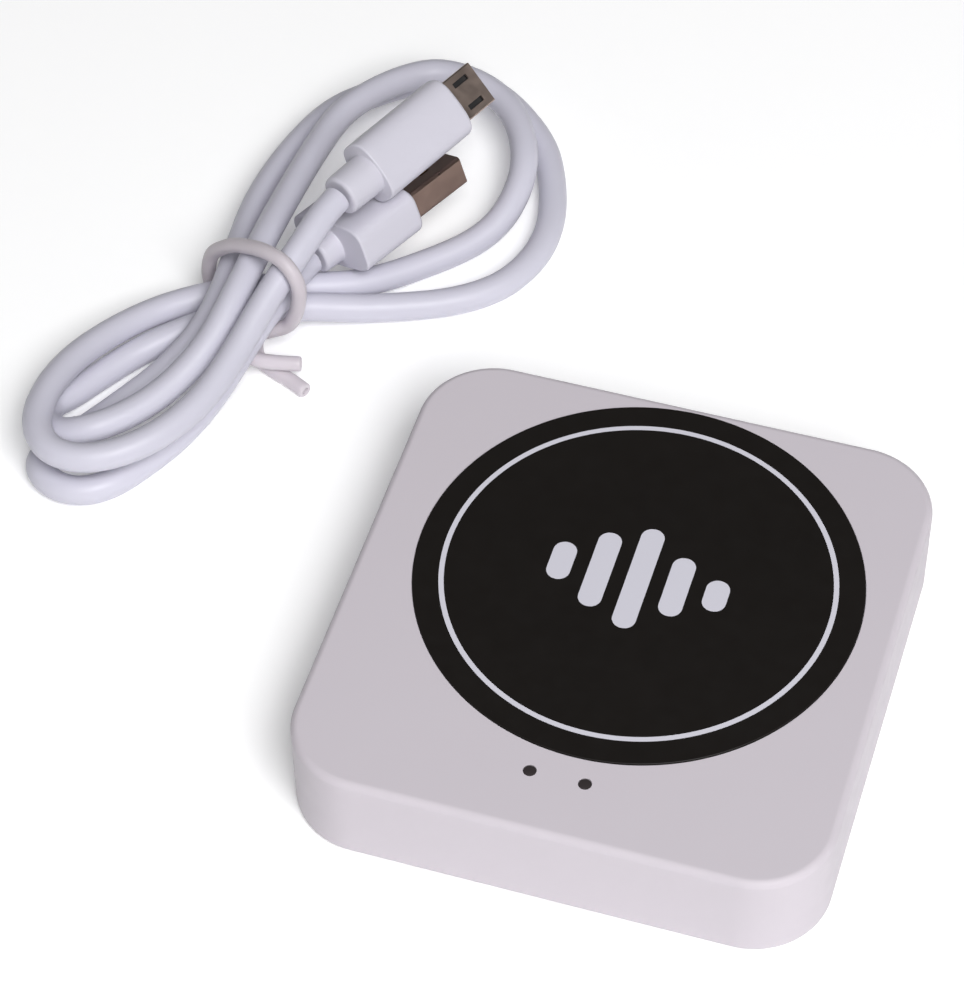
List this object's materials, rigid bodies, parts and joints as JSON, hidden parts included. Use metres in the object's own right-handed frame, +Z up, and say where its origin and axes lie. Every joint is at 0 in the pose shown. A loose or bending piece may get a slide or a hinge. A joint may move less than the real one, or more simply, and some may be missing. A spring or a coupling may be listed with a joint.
{
  "type": "bluetooth audio receiver",
  "caption": "Low square receiver box with rounded corners, a round dark label on top, status light windows, rear sockets and a button, with its tied charging cable beside it.",
  "frame": {"origin": "centre of the receiver box footprint, on the surface that it stands on", "axes": "+Z up, -Y towards the front with the status lights, +Y towards the rear wall with the sockets"},
  "size_m": [0.1279, 0.1407, 0.0233],
  "materials": {
    "case_plastic": "fine satin moulded ABS",
    "label_film": "smooth printed film, soft gloss",
    "light_window": "smoked, polished",
    "led_package": "clear epoxy on white",
    "circuit_board": "solder mask",
    "chip_plastic": "moulded epoxy",
    "plated_steel": "drawn nickel plating",
    "screw_steel": "zinc plated",
    "black_plastic": "moulded",
    "foot_rubber": "matt",
    "cable_jacket": "satin PVC",
    "plug_moulding": "satin PVC",
    "tie_vinyl": "soft vinyl, slightly translucent"
  },
  "bodies": {
    "housing": {"audio_converter_chip": "chip_plastic", "audio_jack_body": "black_plastic", "audio_jack_bush": "plated_steel", "bluetooth_module": "circuit_board", "board_screw_1": "screw_steel", "board_screw_2": "screw_steel", "board_screw_3": "screw_steel", "board_screw_4": "screw_steel", "bottom_cover": "case_plastic", "case_screw_1": "screw_steel", "case_screw_2": "screw_steel", "case_screw_3": "screw_steel", "case_screw_4": "screw_steel", "crystal_can": "plated_steel", "label_disc": "label_film", "large_plug_moulding": "plug_moulding", "large_plug_shell": "plated_steel", "large_plug_tongue": "black_plastic", "light_pipe_left": "light_window", "light_pipe_right": "light_window", "main_board": "circuit_board", "micro_plug_moulding": "plug_moulding", "micro_plug_shell": "plated_steel", "micro_plug_tongue": "black_plastic", "micro_usb_socket_shell": "plated_steel", "micro_usb_socket_tongue": "black_plastic", "module_shield_can": "plated_steel", "output_capacitor_1": "plated_steel", "output_capacitor_2": "plated_steel", "power_inductor": "chip_plastic", "power_regulator": "chip_plastic", "rubber_foot_1": "foot_rubber", "rubber_foot_2": "foot_rubber", "rubber_foot_3": "foot_rubber", "rubber_foot_4": "foot_rubber", "status_led_left": "led_package", "status_led_right": "led_package", "tact_switch": "plated_steel", "top_cover": "case_plastic", "twist_tie": "tie_vinyl", "usb_cable": "cable_jacket"},
    "pairing_button": {"pairing_button": "case_plastic", "switch_plunger": "black_plastic"}
  },
  "joints": [
    {"name": "pairing_button_press", "type": "slide", "parent": "housing", "child": "pairing_button", "axis": [0, -1, 0], "range_m": [0, 0.0004], "stiffness_N_per_m": 1500}
  ]
}
